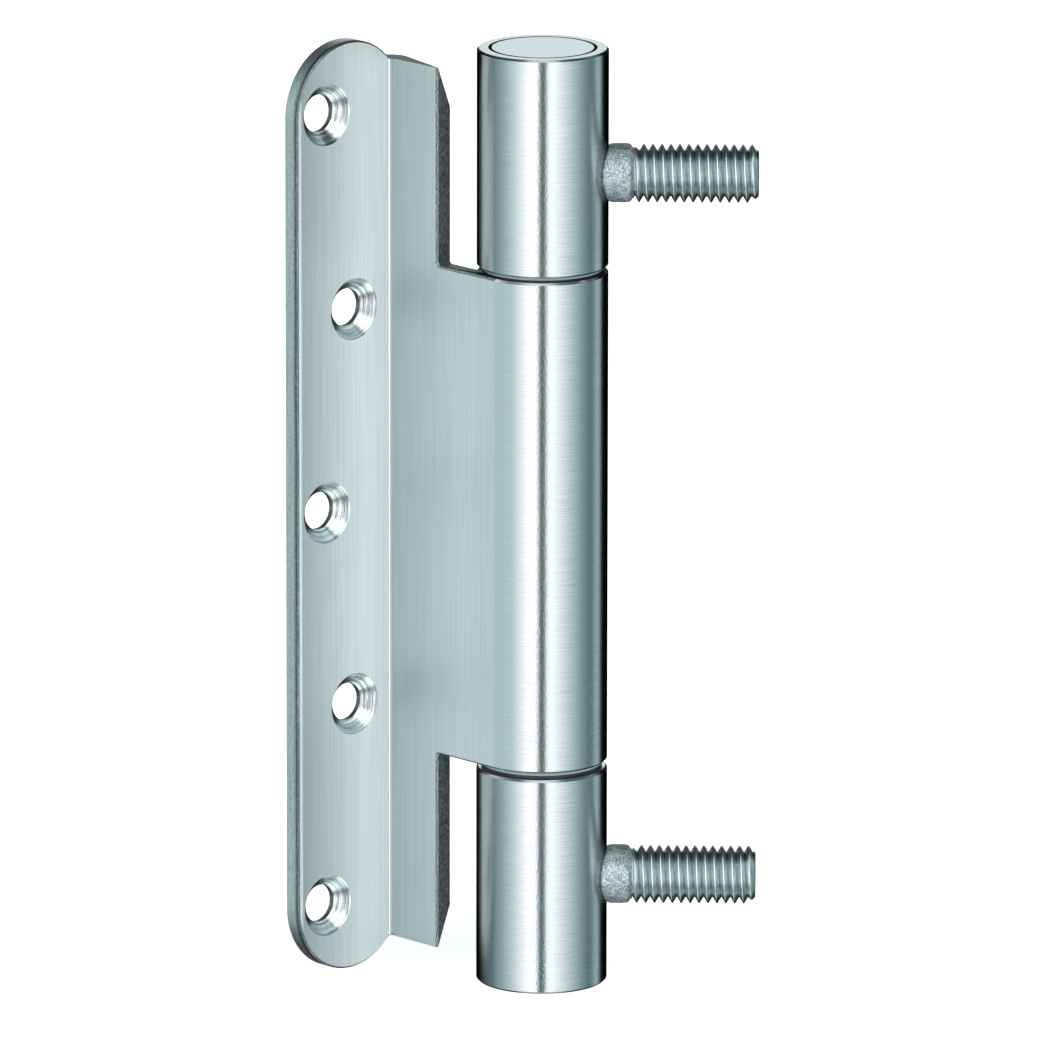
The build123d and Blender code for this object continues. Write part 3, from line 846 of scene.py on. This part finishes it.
class HINGE_OT_stage(bpy.types.Operator):
    """Set up the pale floor, the soft boxes and the camera"""

    bl_idname = "hinge.stage"
    bl_label = "Stage"

    def execute(self, context):
        stage = context.scene.hinge_stage
        flat = Vector((math.sin(stage.azimuth), math.cos(stage.azimuth), 0))
        right = Vector((math.cos(stage.azimuth), -math.sin(stage.azimuth), 0))
        forward = flat * math.cos(stage.elevation) - UP * math.sin(stage.elevation)
        camera_data = bpy.data.cameras.new("camera")
        camera_data.sensor_width = 36.0
        camera_data.lens = stage.focal_length
        camera_data.clip_start, camera_data.clip_end = 0.05, 20
        camera = bpy.data.objects.new("camera", camera_data)
        context.scene.collection.objects.link(camera)
        camera.location = Vector(stage.target) - forward * stage.distance
        upwards = right.cross(forward)
        turned = Matrix.Rotation(-stage.roll, 3, forward)
        axes = Matrix((turned @ right, turned @ upwards, -forward)).transposed()
        camera.rotation_mode = "QUATERNION"
        camera.rotation_quaternion = axes.to_quaternion()
        context.scene.camera = camera
        context.scene.view_settings.view_transform = "Standard"
        self.build_floor(context, stage)
        self.build_world(context, stage, flat, right)
        return {"FINISHED"}

    def build_floor(self, context, stage):
        """Pale table of opal acrylic, lit from below, just under the barrel's lower end."""
        material, tree = new_material("studio_floor")
        acrylic = add_node(tree, "ShaderNodeBsdfPrincipled", {
            "Base Color": stage.floor, "Roughness": 0.9, "Specular IOR Level": 0.0,
            "Emission Color": stage.floor, "Emission Strength": stage.floor_glow,
        })
        add_node(tree, "ShaderNodeOutputMaterial", {"Surface": acrylic.outputs[0]})
        bm = bmesh.new()
        bmesh.ops.create_grid(bm, x_segments=1, y_segments=1, size=stage.floor_reach)
        mesh = bpy.data.meshes.new("floor")
        bm.to_mesh(mesh)
        bm.free()
        mesh.materials.append(material)
        floor = bpy.data.objects.new("floor", mesh)
        context.scene.collection.objects.link(floor)
        floor.location.z = CAD_BOX[0].z - stage.floor_gap
        floor.visible_glossy = False

    def build_world(self, context, stage, flat, right):
        """Upright soft boxes round the hinge, with a dark gap at the camera and a white backdrop."""
        world = bpy.data.worlds.new("studio")
        context.scene.world = world
        world.use_nodes = True
        tree = world.node_tree
        tree.nodes.clear()
        way = add_node(tree, "ShaderNodeTexCoord").outputs["Generated"]
        towards = add_node(
            tree, "ShaderNodeVectorMath", {0: way, 1: -flat}, operation="DOT_PRODUCT"
        ).outputs["Value"]
        aside = add_node(
            tree, "ShaderNodeVectorMath", {0: way, 1: right}, operation="DOT_PRODUCT"
        ).outputs["Value"]
        turn = add_node(tree, "ShaderNodeMath", {0: aside, 1: towards}, operation="ARCTAN2").outputs[0]
        share = add_node(
            tree, "ShaderNodeMapRange", {"Value": turn, "From Min": -math.pi, "From Max": math.pi}
        ).outputs[0]
        height = add_node(tree, "ShaderNodeSeparateXYZ", {0: way}).outputs[2]
        level = add_node(
            tree, "ShaderNodeMapRange", {"Value": height, "From Min": -1, "From Max": 1}
        ).outputs[0]
        ring = add_node(tree, "ShaderNodeValToRGB", {"Fac": share})
        fill_ramp(ring.color_ramp, RING_LIGHTS, -180, 180)
        belt = add_node(tree, "ShaderNodeValToRGB", {"Fac": level})
        fill_ramp(belt.color_ramp, BELT_LIGHTS, -1, 1)
        boxes = add_node(
            tree, "ShaderNodeMix", {0: 1.0, 6: ring.outputs[0], 7: belt.outputs[0]}, data_type="RGBA",
            blend_type="MULTIPLY",
        ).outputs[2]

        # Grey panel behind the hinge, above the floor
        behind = add_node(tree, "ShaderNodeMapRange", {
            "Value": towards, "From Min": -0.88, "From Max": -0.95,
        }, interpolation_type="SMOOTHSTEP").outputs[0]
        raised = add_node(tree, "ShaderNodeMapRange", {
            "Value": height, "From Min": 0.02, "From Max": 0.10,
        }, interpolation_type="SMOOTHSTEP").outputs[0]
        panel = add_node(tree, "ShaderNodeMath", {0: behind, 1: raised}, operation="MULTIPLY").outputs[0]
        light = add_node(
            tree, "ShaderNodeMix", {0: panel, 6: boxes, 7: linear(BACK_PANEL)}, data_type="RGBA"
        ).outputs[2]

        # Round patches of light above and below the camera
        for height_angle, tone in CAMERA_BOXES:
            aim = UP * math.sin(height_angle) - flat * math.cos(height_angle)
            near = add_node(
                tree, "ShaderNodeVectorMath", {0: way, 1: aim}, operation="DOT_PRODUCT"
            ).outputs["Value"]
            patch = add_node(tree, "ShaderNodeMapRange", {
                "Value": near, "From Min": 0.86, "From Max": 0.93,
            }, interpolation_type="SMOOTHSTEP").outputs[0]
            light = add_node(
                tree, "ShaderNodeMix", {0: patch, 6: light, 7: linear(tone)}, data_type="RGBA"
            ).outputs[2]

        studio = add_node(tree, "ShaderNodeBackground", {"Color": light, "Strength": stage.light})
        backdrop = add_node(tree, "ShaderNodeBackground", {"Color": stage.floor, "Strength": stage.backdrop})
        seen = add_node(tree, "ShaderNodeLightPath").outputs["Is Camera Ray"]
        mixed = add_node(tree, "ShaderNodeMixShader", {0: seen, 1: studio.outputs[0], 2: backdrop.outputs[0]})
        add_node(tree, "ShaderNodeOutputWorld", {"Surface": mixed.outputs[0]})


class HINGE_PT_sidebar(bpy.types.Panel):
    """Lists the hinge's operators and settings"""

    bl_idname = "HINGE_PT_sidebar"
    bl_label = "Door Hinge"
    bl_space_type = "VIEW_3D"
    bl_region_type = "UI"
    bl_category = "Door Hinge"

    def draw(self, context):
        for operator in OPERATORS:
            self.layout.operator(operator.bl_idname)
        for name in SETTINGS:
            group = getattr(context.scene, name)
            box = self.layout.box()
            for key in group.__annotations__:
                box.prop(group, key)


OPERATORS = (
    HINGE_OT_door_leaf, HINGE_OT_frame_knuckles, HINGE_OT_pin_and_bearings,
    HINGE_OT_threaded_studs, HINGE_OT_cap_rings, HINGE_OT_stage,
)
SETTINGS = {
    "hinge_studs": HingeStudSettings,
    "hinge_rings": HingeRingSettings,
    "hinge_finish": HingeFinishSettings,
    "hinge_stage": HingeStageSettings,
}


def register():
    for group in SETTINGS.values():
        bpy.utils.register_class(group)
    for cls in OPERATORS + (HINGE_PT_sidebar,):
        bpy.utils.register_class(cls)
    for name, group in SETTINGS.items():
        setattr(bpy.types.Scene, name, bpy.props.PointerProperty(type=group))


def unregister():
    for name in SETTINGS:
        delattr(bpy.types.Scene, name)
    for cls in (HINGE_PT_sidebar,) + OPERATORS:
        bpy.utils.unregister_class(cls)
    for group in SETTINGS.values():
        bpy.utils.unregister_class(group)


def main():
    """Build everything in order."""
    register()
    bpy.ops.hinge.door_leaf()
    bpy.ops.hinge.frame_knuckles()
    bpy.ops.hinge.pin_and_bearings()
    bpy.ops.hinge.threaded_studs()
    bpy.ops.hinge.cap_rings()
    bpy.ops.hinge.stage()


if __name__ == "__main__":
    main()
